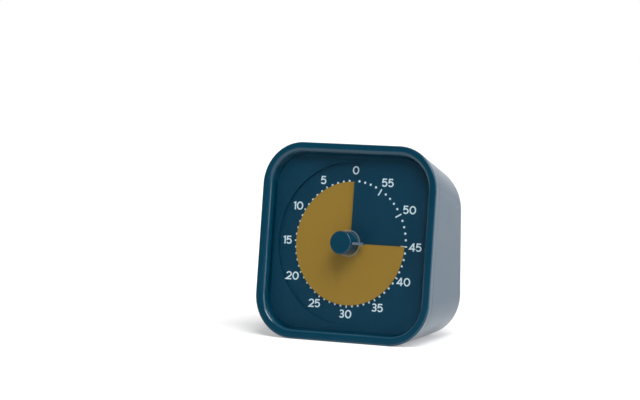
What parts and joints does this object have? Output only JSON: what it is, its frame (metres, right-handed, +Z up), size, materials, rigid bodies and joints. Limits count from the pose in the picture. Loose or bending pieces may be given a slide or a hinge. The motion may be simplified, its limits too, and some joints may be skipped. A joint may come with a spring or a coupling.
{
  "type": "visual countdown timer",
  "caption": "Table timer with a leaning square face, a turning coloured disk that shows the minutes left, a pointer knob, a volume wheel and a rear battery door.",
  "frame": {"origin": "middle of the flat base, half way between its front and rear edges, on the table", "axes": "+Z up, +X to the right as the face is read, -Y out of the front; the face leans back 7.3 degrees"},
  "size_m": [0.0898, 0.048, 0.0898],
  "materials": {
    "frame_abs": "satin moulded ABS",
    "housing_abs": "satin moulded ABS",
    "dial_abs": "fine matt ABS with printed marks",
    "disk_film": "matt coloured film",
    "knob_abs": "satin moulded ABS",
    "lens_clear": "clear moulded sheet",
    "acetal": "natural acetal",
    "case_styrene": "moulded case plastic",
    "steel": "plated steel",
    "brass": "nickel-free brass",
    "copper": "enamelled copper wire",
    "board": "glass-epoxy board with solder mask",
    "black_plastic": "moulded component plastic",
    "cell_jacket": "plain printed film round a steel can"
  },
  "bodies": {
    "housing": {"front_frame": "frame_abs", "lens": "lens_clear", "dial_plate": "dial_abs", "stator": "steel", "coil_bobbin": "acetal", "coil_winding": "copper", "alarm_leaf": "brass", "movement_case_front": "case_styrene", "movement_case_rear": "case_styrene", "pin_header": "black_plastic", "rear_housing": "housing_abs", "battery_tray": "housing_abs", "battery_cell": "cell_jacket", "contact_positive": "brass", "contact_negative": "brass", "battery_spring": "steel", "circuit_board": "board", "sounder": "black_plastic", "driver_chip": "black_plastic", "quartz_crystal": "steel", "volume_pot": "black_plastic", "housing_screw_upper_right": "steel", "housing_screw_upper_left": "steel", "housing_screw_lower_right": "steel", "housing_screw_lower_left": "steel", "movement_screw_right": "steel", "movement_screw_left": "steel", "board_screw_lower_left": "steel", "board_screw_lower_right": "steel", "board_screw_upper_left": "steel", "board_screw_upper_right": "steel"},
    "knob_spindle": {"knob": "knob_abs", "spindle": "acetal", "clutch_spring": "steel", "alarm_cam": "acetal"},
    "disk": {"time_disk": "disk_film", "disk_hub": "disk_film"},
    "centre_gear": {"centre_wheel": "acetal"},
    "third_gear": {"third_wheel": "acetal"},
    "seconds_gear": {"seconds_wheel": "acetal"},
    "rotor_gear": {"rotor": "steel"},
    "volume_control": {"volume_wheel": "black_plastic"},
    "door": {"battery_door": "housing_abs"}
  },
  "joints": [
    {"name": "timer_turn", "type": "hinge", "parent": "housing", "child": "knob_spindle", "pos_m": [0, -0.01773, 0.04503], "axis": [0, -0.9919, 0.1271], "range_deg": [-270, 90]},
    {"name": "disk_lead", "type": "slide", "parent": "knob_spindle", "child": "disk", "axis": [0, -0.9919, 0.1271], "range_m": [-0.0012, 0.0004]},
    {"name": "centre_wheel_turn", "type": "hinge", "parent": "housing", "child": "centre_gear", "pos_m": [0, -0.00533, 0.04344], "axis": [0, -0.9919, 0.1271], "continuous": true},
    {"name": "third_wheel_turn", "type": "hinge", "parent": "housing", "child": "third_gear", "pos_m": [-0.0136, -0.00285, 0.04313], "axis": [0, -0.9919, 0.1271], "continuous": true},
    {"name": "seconds_wheel_turn", "type": "hinge", "parent": "housing", "child": "seconds_gear", "pos_m": [-0.01127, -0.00175, 0.05175], "axis": [0, -0.9919, 0.1271], "continuous": true},
    {"name": "rotor_turn", "type": "hinge", "parent": "housing", "child": "rotor_gear", "pos_m": [-0.00526, -0.00098, 0.05771], "axis": [0, -0.9919, 0.1271], "continuous": true},
    {"name": "volume_turn", "type": "hinge", "parent": "housing", "child": "volume_control", "pos_m": [0.0217, 0.0156, 0.052], "axis": [1, 0, 0], "range_deg": [-135, 135]},
    {"name": "battery_door_hinge", "type": "hinge", "parent": "housing", "child": "door", "pos_m": [0, 0.0219, 0.0109], "axis": [-1, 0, 0], "range_deg": [0, 95]}
  ],
  "couplings": [
    {"joint": "disk_lead", "follows": "timer_turn", "m_per_rad": 0.00025465},
    {"joint": "rotor_turn", "follows": "seconds_wheel_turn", "ratio": -7.5},
    {"joint": "third_wheel_turn", "follows": "seconds_wheel_turn", "ratio": -0.125},
    {"joint": "centre_wheel_turn", "follows": "seconds_wheel_turn", "ratio": 0.016667}
  ]
}
